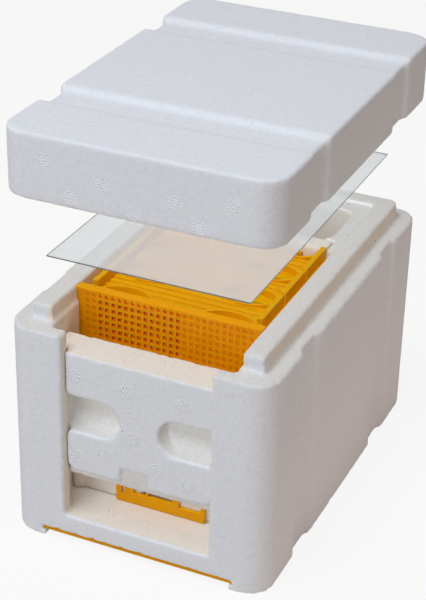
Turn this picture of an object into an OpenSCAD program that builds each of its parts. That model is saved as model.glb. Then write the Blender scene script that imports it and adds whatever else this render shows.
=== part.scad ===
// Foam mating nuc: a small beehive box of expanded polystyrene with yellow plastic fittings.
// Front faces -Y, the runners stand on z = 0, and the box is centred on x = 0, y = 0.
// The lid and the clear cover sheet are drawn lifted off, one above the other.

/* [Box] */
// Outer width across the side walls
body_w = 160; // [150:1:180]
// Outer depth from front to back
body_d = 240; // [230:1:270]
// Height of the ledge that the lid closes onto
body_h = 136; // [130:1:160]
// Radius of the upright outer corners
corner_r = 15; // [8:1:18]
// Width of the ledge outside the rim
ledge_w = 10.5; // [8:0.5:12]
// Width of the raised rim
rim_w = 12.5; // [9:0.5:14]
// Height of the rim above the ledge
rim_h = 10; // [8:0.5:14]
// Distance of the rim's front ends from the front of the box
rim_set = 13; // [10:0.5:18]
// Radius of the rim's back corners
rim_r = 6; // [2:0.5:9]
// Thickness of the floor
floor_t = 12; // [8:1:16]
// Height of the side runners under the floor
foot_h = 6; // [5.5:0.5:10]
// Width of each side runner
foot_w = 22.5; // [18:0.5:26]

/* [Strap grooves] */
// Distance of each groove from the middle of the box
strap_y = 64; // [50:1:80]
// Width of a groove at the surface
strap_w = 25; // [18:1:32]
// Depth of a groove
strap_t = 3; // [1.5:0.5:5]

/* [Chambers] */
// Width of the ledge that the frames hang on
rest_w = 9; // [7:0.5:10]
// Depth of that ledge below the top of the rim
rest_drop = 11; // [9:0.5:14]
// Length of the brood chamber
brood_d = 108.5; // [100:0.5:120]
// Thickness of the divider between brood chamber and feeder
divider_t = 14; // [10:1:18]
// Depth of the grooves in the side walls that hold the divider
divider_key = 3; // [2:0.5:5]
// Clearance of the divider in its grooves
divider_gap = 0.3; // [0.2:0.1:0.6]
// Depth of the deck around the feeder below the top of the rim
deck_drop = 3; // [2:0.5:6]
// Radius of the feeder chamber's corners
feeder_r = 8; // [3:0.5:12]

/* [Front] */
// Depth of the two column lips that hold the door
lip_t = 9; // [6:0.5:12]
// Distance of the door slot's sides from the rim's inner face
slot_step = 2; // [1:0.5:5]
// Reach of the lips in front of the door's edges
lip_reach = 9.8; // [6:0.2:14]
// Thickness of the entrance board behind the door
board_t = 14.4; // [8:0.2:18]
// Height of the entrance board
board_h = 72; // [62:1:80]
// Clearance at the sides of the entrance board
board_gap = 0.3; // [0.2:0.1:0.6]
// Width of the entrance hole
entrance_w = 20; // [12:1:24]
// Height of the entrance hole
entrance_h = 17; // [12:1:22]

/* [Door] */
// Height of the door
door_h = 80; // [74:0.5:86]
// Thickness of the door
door_t = 22; // [18:0.1:24]
// Depth of the door's face behind the front of the columns
door_recess = 4.5; // [2:0.5:6]
// Height of the door's lower edge above the floor, as drawn
door_lift = 26; // [20:0.5:32]
// Running clearance of the door
door_gap = 0.4; // [0.3:0.1:0.8]
// Height of the finger recesses
grip_h = 23.5; // [20:0.5:26]
// Length of the finger recesses
grip_l = 33; // [26:1:38]
// Depth of the finger recesses
grip_t = 13; // [10:0.5:15]
// Radius between the back and the floor of the finger recesses
grip_r = 9; // [3:0.5:9.5]
// Radius where the finger recesses meet the door's edges
grip_edge_r = 3; // [1:0.5:5]
// Height of the finger recesses' middle above the door's lower edge
grip_z = 41.5; // [34:0.5:50]
// Width of the shallow pocket in the lower edge
pocket_w = 17.5; // [10:0.5:24]
// Height of that pocket
pocket_h = 13.5; // [8:0.5:18]
// Depth of that pocket
pocket_t = 2.6; // [1:0.2:4]
// Sideways place of that pocket
pocket_x = -3; // [-10:1:10]
// Height by which the face layer stops short of the lower edge
face_step = 4.2; // [2:0.2:6]
// Thickness of the face layer
face_t = 2.4; // [1.6:0.2:4]
// Corner radius of the face layer
face_r = 6; // [3:0.5:10]

/* [Entrance gate] */
// Width of the gate
gate_w = 56.5; // [54:0.5:62]
// Height of the gate
gate_h = 34; // [30:0.5:40]
// Thickness of the gate
gate_t = 2; // [1.6:0.1:2.6]
// Sideways place of the gate's middle
gate_x = 2.7; // [0:0.1:4]
// Clearance of the gate in its rebate
gate_gap = 0.2; // [0.2:0.05:0.4]
// Sideways travel of the gate each way
gate_travel = 18; // [16:0.5:22]
// Height of the bar under the gate's lowest window
gate_sill = 5.4; // [4:0.2:7]
// Height of the gate's windows
gate_win_h = 18; // [14:0.5:20]

/* [Vent grille] */
// Thickness of the grille
grille_t = 2.5; // [2:0.1:3]
// Clearance of the grille in its grooves
grille_gap = 0.3; // [0.2:0.1:0.6]
// Height of the grooves' lower end above the floor
grille_z = 62; // [54:1:68]
// Spacing of the grille's holes across
grille_pitch_x = 4; // [3.6:0.1:6]
// Spacing of the grille's holes upwards
grille_pitch_z = 4.2; // [3.4:0.1:5]
// Width of a hole
grille_hole = 2.4; // [1.6:0.1:2.8]
// Width of the plain margin at each end
grille_margin = 5.4; // [4:0.1:12]
// Share of the width, from the left end, in which a thin web closes the holes
closed_left_share = 0.125; // [0.05:0.005:0.4]
// Share of the width, from the right end, in which a thin web closes the holes
closed_right_share = 0.43; // [0.05:0.005:0.5]
// Thickness of that web
grille_web = 1.8; // [0.6:0.1:2]
// Height of the flange along the top
flange_h = 1.6; // [1.2:0.2:3]
// Reach of the flange in front of and behind the plate
flange_out = 1.6; // [1:0.2:2]
// Depth of the grille's top below the rim's top
grille_drop = 0.6; // [0.4:0.1:5]

/* [Frames] */
// Space between two top bars
bar_apart = 1.5; // [1:0.1:4]
// Space between the last top bar and the divider
bar_rear = 1.2; // [1:0.2:12]
// Thickness of a frame's top bar
bar_t = 3; // [2.4:0.2:4]
// Space between the grille and the first top bar
bar_space = 5.8; // [2:0.2:8]
// Clearance between the top bars and the side walls
frame_gap = 0.5; // [0.3:0.1:1]
// Clearance between the end walls' tops and the cover sheet
end_gap = 0.6; // [0.4:0.1:2]
// Thickness of the raised end walls
end_t = 3.2; // [2.4:0.2:4]
// Overhang of the top bar outside the end walls
end_out = 4.5; // [1:0.5:6]
// Chord of the bee passages in the long edges
scallop_w = 33; // [24:1:33]
// Depth of the bee passages
scallop_t = 9; // [4:0.5:10]
// Sideways place of the bee passages
scallop_x = 31.5; // [26:0.5:32]
// Width of the raised lips around the bee passages
scallop_lip = 1.8; // [1.2:0.2:2.4]
// Height of those lips above the top bar
scallop_lip_h = 2.4; // [1.6:0.2:4]
// Thickness of the web that floors each scallop
scallop_web = 1; // [0.8:0.1:2]
// Width of the ridges on the top bar
ridge_w = 2.8; // [1.6:0.2:3.4]
// Height of the ridges on the top bar
ridge_h = 1; // [0.6:0.2:1.6]
// Spacing of the ridges on the top bar
ridge_pitch = 5.6; // [4.4:0.2:7]
// Thickness of the side bars and the bottom bar
side_t = 2.4; // [2:0.2:3]
// Width of the side bars
side_w = 20; // [14:1:24]
// Width of the bottom bar
bottom_w = 12; // [8:1:18]
// Space between the side bars and the chamber walls
side_gap = 1.6; // [1.2:0.2:3]
// Height of the bottom bar above the floor
frame_clear = 11; // [8:0.5:16]
// Distance of a starter strip's ends from the side bars
strip_end = 4; // [3:0.5:20]
// Thickness of a starter strip
strip_t = 1.6; // [1.2:0.2:2.2]
// Depth of a starter strip below the top bar
strip_h = 44; // [10:1:60]
// Depth of the groove under the top bar that holds a strip
strip_seat = 1.6; // [1:0.2:2]
// Clearance of a strip in its slot
strip_gap = 0.2; // [0.2:0.05:0.4]

/* [Feeder passage] */
// Distance of the divider's two plates from the chamber's side walls
pass_side = 12; // [4:1:18]
// Width of the plates' border beside the way through the divider
pass_edge = 8; // [5:1:14]
// Height of the way through the divider
pass_open_h = 28; // [20:1:32]
// Depth of the way's upper edge below the deck
pass_open_drop = 18; // [14:1:24]
// Depth of the two plates' tops below the deck
plate_drop = 5; // [1:0.5:8]
// Thickness of the excluder plate
excluder_t = 2.2; // [1.8:0.1:3]
// Width of the excluder's slots
excluder_slot = 4.3; // [4:0.1:4.6]
// Spacing of the excluder's slots
excluder_pitch = 6.6; // [6:0.2:8]
// Thickness of the ladder plate
ladder_t = 2.4; // [2:0.1:3]
// Spacing of the ladder's rungs
ladder_pitch = 6; // [5:0.5:9]
// Reach of the ladder's rungs
ladder_out = 1.8; // [1:0.2:2.4]
// Clearance of the plates in their rebates
pass_gap = 0.3; // [0.2:0.1:0.5]

/* [Floor vent] */
// Distance of the opening in the floor from the chamber's side walls
vent_side = 18; // [12:1:26]
// Distance of the opening in the floor from the chamber's end walls
vent_end = 20; // [14:1:28]
// Width of the rebate that carries the grid
vent_lip = 5; // [3:0.5:8]
// Thickness of the floor grid
grid_t = 2; // [1.6:0.2:3]
// Spacing of the grid's holes
grid_pitch = 5; // [4.5:0.5:8]
// Width of a hole in the grid
grid_hole = 3; // [2:0.2:3.6]
// Clearance of the grid in its rebate
grid_gap = 0.3; // [0.2:0.1:0.5]
// Thickness of the floor slide
slide_t = 2.4; // [1.8:0.1:2.6]
// Depth of the grooves in the runners that carry the floor slide
slide_groove = 3; // [2:0.5:5]
// Clearance of the floor slide
slide_gap = 0.3; // [0.2:0.1:0.4]
// Distance of the slide's edges from the front and back of the box
slide_inset = 1.5; // [0.5:0.5:6]

/* [Lid and sheet] */
// Height of the lid
lid_h = 38; // [32:1:48]
// Clearance between the lid and the rim
lid_gap = 0.8; // [0.6:0.1:1.5]
// Gap where the lid and the sheet come to rest
seat_gap = 0.2; // [0.2:0.05:0.4]
// Height of the lid above its closed place, as drawn
lid_lift = 78; // [60:1:110]
// Thickness of the cover sheet
sheet_t = 0.8; // [0.6:0.1:1.4]
// Distance of the sheet's long edges from the rim's outer face
sheet_inset_x = 9.5; // [2:0.5:11]
// Distance of the sheet's short edges from the rim's ends
sheet_inset_y = 1; // [0.5:0.5:8]
// Height of the sheet above its closed place, as drawn
sheet_lift = 29; // [15:1:40]

/* [Hidden] */
$fn = 64;

foam = [0.93, 0.94, 0.95];
yellow = [0.87, 0.60, 0.03];
clear = [0.88, 0.92, 0.93, 0.45];
wax = [0.90, 0.78, 0.52];

// Overlap that lets a cut run past the face it opens
over = 1;

front_y = -body_d / 2;
back_y = body_d / 2;
rim_top = body_h + rim_h;
floor_z = foot_h + floor_t;
rim_x = body_w / 2 - ledge_w;
rim_front_y = front_y + rim_set;
lip_back_y = front_y + lip_t;
rim_back_y = back_y - ledge_w;
inner_x = rim_x - rim_w;
inner_back_y = rim_back_y - rim_w;
chamber_x = inner_x - rest_w;
rest_z = rim_top - rest_drop;
deck_z = rim_top - deck_drop;

slot_w = 2 * (inner_x - slot_step);
channel_w = slot_w - 2 * lip_reach;
door_y = front_y + door_recess;
slot_back_y = door_y + door_t + door_gap;
brood_y = slot_back_y + board_t;
divider_y = brood_y + brood_d;
feeder_y = divider_y + divider_t;
feeder_back_y = inner_back_y - rest_w;
board_top = floor_z + board_h;
door_z = floor_z + door_lift;

gate_y = slot_back_y + gate_gap;
gate_rebate_x = gate_w / 2 + gate_travel + gate_gap + abs(gate_x);

grille_y = brood_y + grille_gap;
grille_back_y = grille_y + grille_t;
grille_base = floor_z + grille_z;
grille_top = rim_top - grille_drop;
grille_x = inner_x - grille_gap;

bar_x = inner_x - frame_gap;
bar_front_y = grille_back_y + flange_out + bar_space;
frame_pitch = (divider_y - bar_rear - bar_front_y + bar_apart) / 3;
bar_w = frame_pitch - bar_apart;
bar_y = bar_front_y + bar_w / 2;
end_x = bar_x - end_out;
side_x = chamber_x - side_gap;
frame_base = floor_z + frame_clear;
scallop_r = (scallop_w * scallop_w / 4 + scallop_t * scallop_t) / (2 * scallop_t);
strip_l = 2 * (side_x - side_t - strip_end);
slot_half = strip_t / 2 + strip_gap;
ridge_reach = floor((bar_w - ridge_w) / 2 / ridge_pitch);

pass_w = 2 * (chamber_x - pass_side);
pass_open_w = pass_w - 2 * pass_edge;
pass_top = deck_z - pass_open_drop;
pass_low = pass_top - pass_open_h;
plate_top = deck_z - plate_drop;
excluder_low = pass_low - pass_open_drop / 2;
vent_w = 2 * (chamber_x - vent_side);
vent_d = brood_d - 2 * vent_end;
vent_y = (brood_y + divider_y) / 2;
slide_x = body_w / 2 - foot_w + slide_groove;
slide_z = foot_h - slide_gap - slide_t;

lid_recess_h = rim_h + seat_gap + sheet_t + seat_gap;
lid_z = body_h + seat_gap + lid_lift;
sheet_z = rim_top + seat_gap + sheet_lift;

// Block with upright rounded corners, from z0 to z1
module rounded_block(x0, x1, y0, y1, z0, z1, r) {
    translate([0, 0, z0])
        linear_extrude(z1 - z0)
            union() {
                translate([x0 + r, y0]) square([x1 - x0 - 2 * r, y1 - y0]);
                translate([x0, y0 + r]) square([x1 - x0, y1 - y0 - 2 * r]);
                for (x = [x0 + r, x1 - r], y = [y0 + r, y1 - r])
                    translate([x, y]) circle(r);
            }
}

// Plain block between two corners
module block(low, high) {
    translate(low) cube(high - low);
}

// Block that is symmetric about x = 0
module wide_block(half_x, y0, y1, z0, z1) {
    block([-half_x, y0, z0], [half_x, y1, z1]);
}

// Outline of a strap groove: depth along X, width along Y, open on the -X side
module strap_outline() {
    polygon([
        [-over, -strap_w / 2], [0, -strap_w / 2], [strap_t, -strap_w / 2 + strap_t],
        [strap_t, strap_w / 2 - strap_t], [0, strap_w / 2], [-over, strap_w / 2]
    ]);
}

// The four upright strap grooves in the side walls, from z0 to z1
module side_straps(z0, z1) {
    for (y = [-strap_y, strap_y], turn = [0, 180])
        rotate([0, 0, turn])
            translate([-body_w / 2, y, z0])
                linear_extrude(z1 - z0) strap_outline();
}

// The two grooves across a top face at height z
module top_straps(z) {
    for (y = [-strap_y, strap_y])
        translate([-body_w / 2 - over, y, z])
            rotate([0, 90, 0])
                linear_extrude(body_w + 2 * over) strap_outline();
}

module outer_block(z0, z1) {
    rounded_block(-body_w / 2, body_w / 2, front_y, back_y, z0, z1, corner_r);
}

// Raised part inside the ledge, square at the front and rounded at the back
module rim_block(grow, z0, z1) {
    wide_block(rim_x + grow, rim_front_y - grow, rim_back_y - rim_r, z0, z1);
    rounded_block(-rim_x - grow, rim_x + grow, 0, rim_back_y + grow, z0, z1, rim_r + grow);
}

module door_cuts() {
    top = rim_top + over;
    wide_block(channel_w / 2, front_y - over, lip_back_y + over, floor_z, top);
    wide_block(slot_w / 2, lip_back_y, brood_y, floor_z, top);
}

module chamber_cuts() {
    top = rim_top + over;
    wide_block(inner_x, rim_front_y - over, divider_y, body_h, top);
    wide_block(inner_x, brood_y, divider_y, rest_z, top);
    wide_block(chamber_x, brood_y, divider_y, floor_z, top);
    wide_block(inner_x, divider_y - over, inner_back_y, deck_z, top);
    wide_block(chamber_x + divider_key, divider_y - divider_gap, feeder_y + divider_gap, floor_z, top);
    rounded_block(-chamber_x, chamber_x, feeder_y, feeder_back_y, floor_z, top, feeder_r);
    wide_block(inner_x, brood_y, grille_back_y + grille_gap, grille_base, top);
}

module floor_cuts() {
    half_w = vent_w / 2 + vent_lip + grid_gap;
    half_d = vent_d / 2 + vent_lip + grid_gap;
    wide_block(vent_w / 2, vent_y - vent_d / 2, vent_y + vent_d / 2, foot_h - over, floor_z + over);
    wide_block(half_w, vent_y - half_d, vent_y + half_d, floor_z - grid_t - grid_gap, floor_z + over);
    wide_block(body_w / 2 - foot_w, front_y - over, back_y + over, -over, foot_h);
    wide_block(slide_x, front_y - over, back_y - slide_inset + slide_gap,
        slide_z - slide_gap, foot_h);
}

module hive_body() {
    color(foam)
        difference() {
            union() {
                outer_block(0, body_h);
                rim_block(0, body_h - over, rim_top);
            }
            door_cuts();
            chamber_cuts();
            floor_cuts();
            side_straps(-over, body_h + over);
        }
}

module lid() {
    color(foam)
        difference() {
            outer_block(lid_z, lid_z + lid_h);
            rim_block(lid_gap, lid_z - over, lid_z + lid_recess_h);
            side_straps(lid_z - over, lid_z + lid_h + over);
            top_straps(lid_z + lid_h);
        }
}

module cover_sheet() {
    color(clear)
        wide_block(rim_x - sheet_inset_x, rim_front_y + sheet_inset_y, rim_back_y - sheet_inset_y,
            sheet_z, sheet_z + sheet_t);
}

// Waste outside a rounded corner whose tip is at the origin and whose piece lies on the -X, -Y side
module corner_waste(r) {
    difference() {
        translate([-r, -r]) square(r + over);
        translate([-r, -r]) circle(r);
    }
}

// Section of a finger recess: depth along X, height along Y, with the back of its floor scooped
module grip_section() {
    difference() {
        translate([-2 * over, -over]) square([grip_t + 2 * over, grip_h + 2 * over]);
        translate([grip_t, 0]) mirror([0, 1]) corner_waste(grip_r);
    }
}

// Finger recess that opens at the door's right edge, with a round inner end
module grip_cut() {
    edge = channel_w / 2 - door_gap;
    mid = edge - grip_l + grip_h / 2;
    low = door_z + grip_z - grip_h / 2;
    intersection() {
        union() {
            translate([mid, door_y - over, low + grip_h / 2])
                rotate([-90, 0, 0]) cylinder(h = grip_t + over, d = grip_h);
            block([mid, door_y - over, low], [edge + over, door_y + grip_t, low + grip_h]);
        }
        translate([edge - grip_l - over, door_y, low])
            rotate([90, 0, 90])
                linear_extrude(grip_l + 2 * over) grip_section();
    }
    // The door's own edge is rounded above and below the recess
    translate([edge, lip_back_y + door_gap, low])
        rotate([90, 0, 0])
            linear_extrude(lip_back_y + door_gap - door_y + over) {
                corner_waste(grip_edge_r);
                translate([0, grip_h]) mirror([0, 1]) corner_waste(grip_edge_r);
            }
}

// Thin layer on the door's face, rounded at its lower corners
module door_face() {
    half = channel_w / 2 - door_gap;
    low = door_z + face_step;
    high = door_z + door_h;
    translate([0, door_y + face_t, 0])
        rotate([90, 0, 0])
            linear_extrude(face_t)
                union() {
                    translate([-half, low + face_r]) square([2 * half, high - low - face_r]);
                    translate([-half + face_r, low]) square([2 * (half - face_r), 2 * face_r]);
                    for (x = [-half + face_r, half - face_r])
                        translate([x, low + face_r]) circle(face_r);
                }
}

module front_door() {
    back = door_y + door_t;
    color(foam)
        difference() {
            union() {
                door_face();
                wide_block(channel_w / 2 - door_gap, door_y + face_t, back, door_z, door_z + door_h);
                wide_block(slot_w / 2 - door_gap, lip_back_y + door_gap, back, door_z, door_z + door_h);
            }
            grip_cut();
            mirror([1, 0, 0]) grip_cut();
            block([pocket_x - pocket_w / 2, door_y - over, door_z - over],
                [pocket_x + pocket_w / 2, door_y + pocket_t, door_z + pocket_h]);
        }
}

// Board behind the door, with the entrance hole and the rebate that the gate slides in
module entrance_board() {
    color(foam)
        difference() {
            wide_block(slot_w / 2 - board_gap, slot_back_y, brood_y, floor_z, board_top);
            wide_block(gate_rebate_x, slot_back_y - over, gate_y + gate_t + gate_gap, floor_z - over,
                floor_z + gate_h + 2 * gate_gap);
            wide_block(entrance_w / 2, slot_back_y - over, brood_y + over, floor_z - over,
                floor_z + entrance_h);
        }
}

// Windows of the gate as [left edge from its middle, width, height above the lowest window]
gate_windows = [[-25, 2.4, 0], [-17, 8, 2], [-7.8, 15.6, 2.2], [11.8, 14, 0.8]];

module entrance_gate() {
    base = floor_z + gate_gap;
    color(yellow)
        difference() {
            block([gate_x - gate_w / 2, gate_y, base],
                [gate_x + gate_w / 2, gate_y + gate_t, base + gate_h]);
            for (win = gate_windows)
                translate([gate_x + win[0], gate_y - over, base + gate_sill + win[2]])
                    cube([win[1], gate_t + 2 * over, gate_win_h]);
        }
}

module vent_grille() {
    columns = floor((2 * (grille_x - grille_margin) - grille_hole) / grille_pitch_x);
    rows = floor((grille_top - flange_h - board_top - grille_pitch_z) / grille_pitch_z);
    top_row = grille_top - flange_h - grille_pitch_z / 2;
    open_from = (2 * closed_left_share - 1) * grille_x;
    open_to = (1 - 2 * closed_right_share) * grille_x;
    color(yellow)
        difference() {
            union() {
                wide_block(grille_x, grille_y, grille_back_y, grille_base, grille_top);
                wide_block(grille_x, grille_y - flange_out, grille_back_y + flange_out,
                    grille_top - flange_h, grille_top);
            }
            for (i = [0:columns], j = [0:rows - 1]) {
                x = (i - columns / 2) * grille_pitch_x;
                depth = x > open_from && x < open_to ? grille_t + over : grille_t - grille_web;
                translate([x, grille_y - over, top_row - j * grille_pitch_z])
                    translate([-grille_hole / 2, 0, -grille_hole / 2])
                        cube([grille_hole, depth + over, grille_hole]);
            }
        }
}

// Top bar, raised end walls, side bars and bottom bar of the frame with this number
module frame(number) {
    mid_y = bar_y + number * frame_pitch;
    bar_top = rest_z + bar_t;
    color(yellow)
        translate([0, mid_y, 0])
            difference() {
                union() {
                    wide_block(bar_x, -bar_w / 2, bar_w / 2, rest_z, bar_top);
                    for (i = [-ridge_reach:ridge_reach])
                        translate([0, i * ridge_pitch, 0])
                            wide_block(end_x - end_t / 2, -ridge_w / 2, ridge_w / 2,
                                rest_z, bar_top + ridge_h);
                    for (side = [-1, 1]) {
                        block([side * (end_x - end_t / 2) - end_t / 2, -bar_w / 2, rest_z],
                            [side * (end_x - end_t / 2) + end_t / 2, bar_w / 2, rim_top - end_gap]);
                        block([side * (side_x - side_t / 2) - side_t / 2, -side_w / 2, frame_base],
                            [side * (side_x - side_t / 2) + side_t / 2, side_w / 2, bar_top]);
                    }
                    wide_block(side_x, -bottom_w / 2, bottom_w / 2, frame_base, frame_base + side_t);
                    intersection() {
                        wide_block(end_x, -bar_w / 2, bar_w / 2, rest_z, bar_top + scallop_lip_h);
                        for (x = [-scallop_x, scallop_x], edge = [-1, 1])
                            translate([x, edge * (bar_w / 2 + scallop_r - scallop_t), rest_z])
                                cylinder(h = bar_t + scallop_lip_h, r = scallop_r + scallop_lip);
                    }
                }
                wide_block(strip_l / 2 + strip_gap, -slot_half, slot_half,
                    rest_z - over, rest_z + strip_seat);
                for (x = [-scallop_x, scallop_x], edge = [-1, 1])
                    translate([x, edge * (bar_w / 2 + scallop_r - scallop_t), rest_z + scallop_web])
                        cylinder(h = bar_t + scallop_lip_h, r = scallop_r);
            }
}

// Strip that hangs from the groove of the frame with this number
module starter_strip(number) {
    color(wax)
        translate([0, bar_y + number * frame_pitch, 0])
            wide_block(strip_l / 2, -strip_t / 2, strip_t / 2,
                rest_z - strip_h, rest_z + strip_seat - strip_gap);
}

module frame_front() { frame(0); }
module frame_middle() { frame(1); }
module frame_rear() { frame(2); }
module starter_strip_front() { starter_strip(0); }
module starter_strip_middle() { starter_strip(1); }
module starter_strip_rear() { starter_strip(2); }

// Board between brood chamber and feeder, with rebates for its two plates and a way through
module divider() {
    half = pass_w / 2 + pass_gap;
    color(foam)
        difference() {
            wide_block(chamber_x + divider_key - divider_gap, divider_y, feeder_y, floor_z, deck_z);
            wide_block(half, divider_y - over, divider_y + excluder_t + pass_gap,
                excluder_low, deck_z + over);
            wide_block(half, feeder_y - ladder_t - pass_gap, feeder_y + over, floor_z - over, deck_z + over);
            wide_block(pass_open_w / 2, divider_y - over, feeder_y + over, pass_low, pass_top);
        }
}

// Slotted plate on the brood side of the divider
module feeder_excluder() {
    slots = floor((pass_open_w - excluder_slot) / excluder_pitch);
    color(yellow)
        difference() {
            wide_block(pass_w / 2, divider_y, divider_y + excluder_t, excluder_low, plate_top);
            for (i = [0:slots])
                translate([(i - slots / 2) * excluder_pitch - excluder_slot / 2, divider_y - over, pass_low])
                    cube([excluder_slot, excluder_t + 2 * over, pass_open_h]);
        }
}

// Runged plate on the feeder side of the divider, for climbing down to the food
module feeder_ladder() {
    rungs = floor((pass_low - floor_z) / ladder_pitch) - 1;
    color(yellow)
        difference() {
            union() {
                wide_block(pass_w / 2, feeder_y - ladder_t, feeder_y, floor_z, plate_top);
                for (i = [1:rungs])
                    wide_block(pass_w / 2 - ladder_pitch, feeder_y - over, feeder_y + ladder_out,
                        floor_z + i * ladder_pitch, floor_z + i * ladder_pitch + ladder_out);
                wide_block(pass_w / 2, feeder_y - over, feeder_y + ladder_out,
                    plate_top - ladder_t, plate_top);
            }
            wide_block(pass_open_w / 2, feeder_y - ladder_t - over, feeder_y + over, pass_low, pass_top);
        }
}

module floor_grid() {
    half_w = vent_w / 2 + vent_lip;
    half_d = vent_d / 2 + vent_lip;
    columns = floor((vent_w - grid_hole) / grid_pitch);
    rows = floor((vent_d - grid_hole) / grid_pitch);
    grid_top = floor_z - grid_gap;
    color(yellow)
        difference() {
            wide_block(half_w, vent_y - half_d, vent_y + half_d, grid_top - grid_t, grid_top);
            for (i = [0:columns], j = [0:rows])
                translate([
                    (i - columns / 2) * grid_pitch - grid_hole / 2,
                    vent_y + (j - rows / 2) * grid_pitch - grid_hole / 2,
                    grid_top - grid_t - over
                ])
                    cube([grid_hole, grid_hole, grid_t + 2 * over]);
        }
}

module floor_slide() {
    color(yellow)
        wide_block(slide_x - slide_gap, front_y + slide_inset, back_y - slide_inset,
            slide_z, slide_z + slide_t);
}

hive_body();
lid();
cover_sheet();
front_door();
entrance_board();
entrance_gate();
divider();
vent_grille();
frame_front();
frame_middle();
frame_rear();
starter_strip_front();
starter_strip_middle();
starter_strip_rear();
feeder_excluder();
feeder_ladder();
floor_grid();
floor_slide();
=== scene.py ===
"""Foam mating nuc box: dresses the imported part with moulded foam, yellow plastic and a clear sheet.

Every length below is in millimetres unless a name ends in _m; the scene itself is in metres.
The front of the box faces -Y, and the box stands on z = 0.
"""

import logging
import math
from dataclasses import dataclass, field
from enum import Enum

import bmesh
import bpy
import numpy as np
from mathutils import Matrix, Vector, noise


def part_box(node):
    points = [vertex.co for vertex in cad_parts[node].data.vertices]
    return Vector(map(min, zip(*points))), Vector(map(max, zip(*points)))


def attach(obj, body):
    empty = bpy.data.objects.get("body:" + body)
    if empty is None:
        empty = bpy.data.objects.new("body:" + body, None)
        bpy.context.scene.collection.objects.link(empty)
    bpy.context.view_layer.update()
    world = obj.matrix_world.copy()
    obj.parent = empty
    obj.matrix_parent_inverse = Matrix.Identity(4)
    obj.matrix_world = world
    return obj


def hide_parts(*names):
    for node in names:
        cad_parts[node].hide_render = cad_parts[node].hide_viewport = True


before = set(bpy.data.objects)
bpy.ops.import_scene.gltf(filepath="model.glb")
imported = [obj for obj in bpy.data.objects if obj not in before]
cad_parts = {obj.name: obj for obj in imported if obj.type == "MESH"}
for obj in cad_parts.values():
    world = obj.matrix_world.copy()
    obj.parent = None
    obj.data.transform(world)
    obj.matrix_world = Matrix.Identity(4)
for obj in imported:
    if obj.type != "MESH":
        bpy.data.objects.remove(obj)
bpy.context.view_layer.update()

LOG = logging.getLogger("nuc_box")
MM = 0.001
WHITE = "#FFFFFF"
# Corners of a CAD mesh that lie this close are one corner, and faces that turn less than this are one face.
SAME_CORNER = 0.002
SAME_FACE_DEG = 0.5
# Half a step at a time keeps a smoothed mesh from folding.
SMOOTH_STEP = 0.5
# The largest faces alone set the shading, so that flat faces look flat beside rounded edges.
FLAT_WEIGHT = 100


class Body(Enum):
    """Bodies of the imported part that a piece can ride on."""

    HIVE = "hive"
    SHEET = "sheet"
    COVER = "cover"
    DOOR = "door"
    GATE = "gate"
    SLIDE = "slide"


class Skin(Enum):
    """Foam finishes that a face can take; each value is its place in a moulding's list of materials."""

    OUTER = 0
    # Painted shade: the box's tops and the door's grips are painted darker and warmer than the outer skin.
    TOP = 1
    # Painted bounce light: faces inside the box and the door's top are painted creamier and brighter, for the
    # warm light that the yellow plastic throws on them.
    INSIDE = 2
    # Painted light: the feeder's walls are painted a brighter white, where shade falls in the feeder.
    SEALED = 3


class Slot(Enum):
    """Material slots of the record."""

    FOAM = "foam"
    SHEET = "clear_sheet"
    YELLOW = "yellow_plastic"
    WAX = "wax_strip"


class Side(Enum):
    """Ways that a moulded face can look."""

    FRONT = (0.0, -1.0, 0.0)
    BACK = (0.0, 1.0, 0.0)
    LEFT = (-1.0, 0.0, 0.0)
    RIGHT = (1.0, 0.0, 0.0)
    UP = (0.0, 0.0, 1.0)


class Relief(Enum):
    """How far a vent mark stands out, as a share of its full height."""

    FULL = 1.0
    CLEAR = 0.7
    LOW = 0.4
    FAINT = 0.3


class GrillePart(Enum):
    """Parts of the vent grille; each value is its place in the grille's list of materials."""

    FACE = 0
    WEB = 1
    HOLE = 2


def linear(code: str) -> tuple[float, float, float, float]:
    """Turns an sRGB hex colour to linear RGBA.

    Args:
        code: Six hex digits, with or without a leading hash sign.

    Returns:
        The colour's linear red, green and blue, and an alpha of 1.
    """
    digits = code.lstrip("#")
    channels = [int(digits[i:i + 2], 16) / 255 for i in (0, 2, 4)]
    values = [c / 12.92 if c <= 0.04045 else ((c + 0.055) / 1.055) ** 2.4 for c in channels]
    return (values[0], values[1], values[2], 1.0)


def per_metre(size_mm: float) -> float:
    """Gives the texture scale at which one pattern cell is size_mm wide."""
    return 1.0 / (size_mm * MM)


def add_node(
    tree: bpy.types.NodeTree,
    kind: str,
    values: dict | None = None,
    links: dict | None = None,
    **settings: object,
) -> bpy.types.Node:
    """Adds one shader node with its settings, values and links.

    Args:
        tree: The node tree that takes the node.
        kind: Blender's name for the kind of node.
        values: Socket name or number to the value set on it.
        links: Socket name or number to the output socket that feeds it.
        settings: Properties of the node itself.

    Returns:
        The new node.
    """
    node = tree.nodes.new(kind)
    for name, value in settings.items():
        setattr(node, name, value)
    for socket, value in (values or {}).items():
        node.inputs[socket].default_value = value
    for socket, source in (links or {}).items():
        tree.links.new(source, node.inputs[socket])
    return node


def new_tree(name: str) -> tuple[bpy.types.Material, bpy.types.NodeTree]:
    """Starts an empty node material.

    Args:
        name: The material's name.

    Returns:
        The material and its empty node tree.
    """
    material = bpy.data.materials.new(name)
    material.use_nodes = True
    material.node_tree.nodes.clear()
    return material, material.node_tree


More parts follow.
